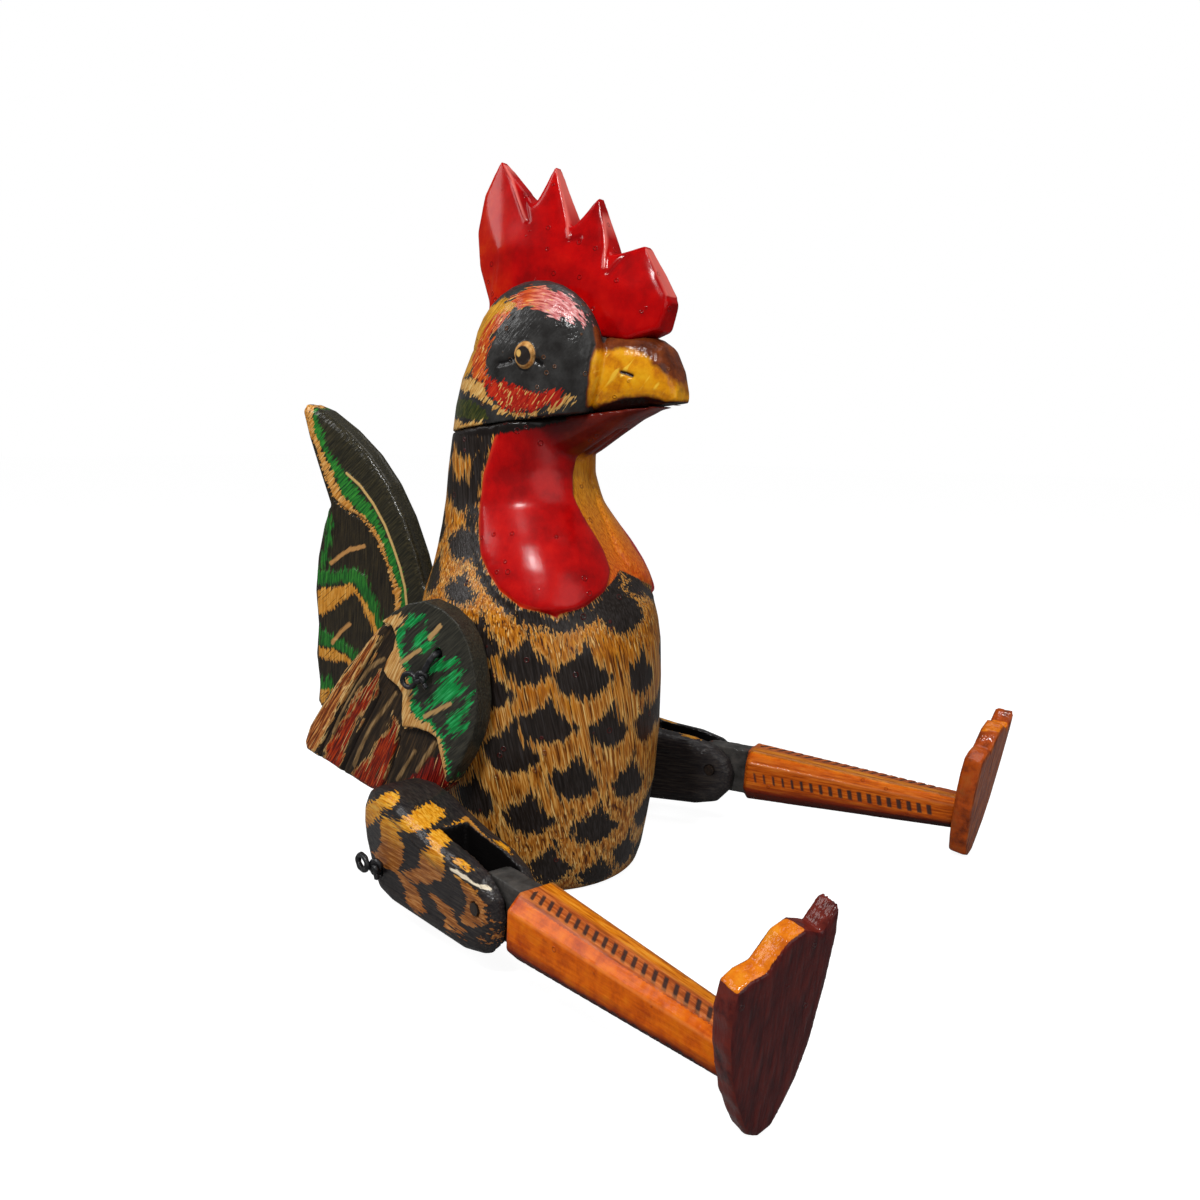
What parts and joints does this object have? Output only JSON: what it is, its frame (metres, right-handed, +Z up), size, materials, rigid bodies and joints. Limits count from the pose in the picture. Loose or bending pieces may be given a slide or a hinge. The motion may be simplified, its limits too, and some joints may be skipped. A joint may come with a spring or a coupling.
{
  "type": "jointed wooden rooster puppet",
  "caption": "Seated wooden rooster with a flat base, wings and legs that swing on cords, and hinged knees.",
  "frame": {"origin": "centre of the flat face under the body, on the surface that the rooster sits on", "axes": "+Z up, -Y towards the beak and the feet, +X towards the rooster's left"},
  "size_m": [0.2936, 0.3451, 0.32],
  "materials": {
    "body_paint": "gloss varnish over paint",
    "head_paint": "gloss varnish over paint",
    "red_paint": "gloss varnish over paint",
    "tail_paint": "gloss varnish over paint",
    "wing_paint": "gloss varnish over paint",
    "thigh_paint": "gloss varnish over paint",
    "shin_stain": "gloss varnish over stain",
    "foot_stain": "gloss varnish over stain",
    "bare_wood": "bare turned wood",
    "black_cord": "waxed braided cord"
  },
  "bodies": {
    "body": {"torso": "body_paint", "head": "head_paint", "neck_dowel": "bare_wood", "comb": "red_paint", "comb_dowel": "bare_wood", "tail": "tail_paint", "tail_dowel_lower": "bare_wood", "tail_dowel_upper": "bare_wood", "shoulder_cord": "black_cord", "hip_cord": "black_cord"},
    "wing_right": {"wing_right": "wing_paint"},
    "wing_left": {"wing_left": "wing_paint"},
    "thigh_right": {"thigh_right": "thigh_paint", "knee_pin_right": "bare_wood"},
    "thigh_left": {"thigh_left": "thigh_paint", "knee_pin_left": "bare_wood"},
    "shin_right": {"shin_right": "shin_stain", "foot_right": "foot_stain", "foot_dowel_right": "bare_wood"},
    "shin_left": {"shin_left": "shin_stain", "foot_left": "foot_stain", "foot_dowel_left": "bare_wood"}
  },
  "joints": [
    {"name": "wing_right_swing", "type": "hinge", "parent": "body", "child": "wing_right", "pos_m": [-0.06, 0.0065, 0.109], "axis": [1, 0, 0], "range_deg": [-34, 140]},
    {"name": "wing_left_swing", "type": "hinge", "parent": "body", "child": "wing_left", "pos_m": [0.06, 0.0065, 0.109], "axis": [1, 0, 0], "range_deg": [-34, 140]},
    {"name": "hip_right_swing", "type": "hinge", "parent": "body", "child": "thigh_right", "pos_m": [-0.08126, 0.01021, 0.021], "axis": [0.9563, -0.2924, 0], "range_deg": [-12, 85]},
    {"name": "hip_left_swing", "type": "hinge", "parent": "body", "child": "thigh_left", "pos_m": [0.08169, 0.021, 0.021], "axis": [0.9816, 0.1908, 0], "range_deg": [-12, 85]},
    {"name": "knee_right_bend", "type": "hinge", "parent": "thigh_right", "child": "shin_right", "pos_m": [-0.10088, -0.05398, 0.02783], "axis": [0.9563, -0.2924, 0], "range_deg": [-60, 55]},
    {"name": "knee_left_bend", "type": "hinge", "parent": "thigh_left", "child": "shin_left", "pos_m": [0.09444, -0.04462, 0.03017], "axis": [0.9816, 0.1908, 0], "range_deg": [-60, 55]}
  ]
}
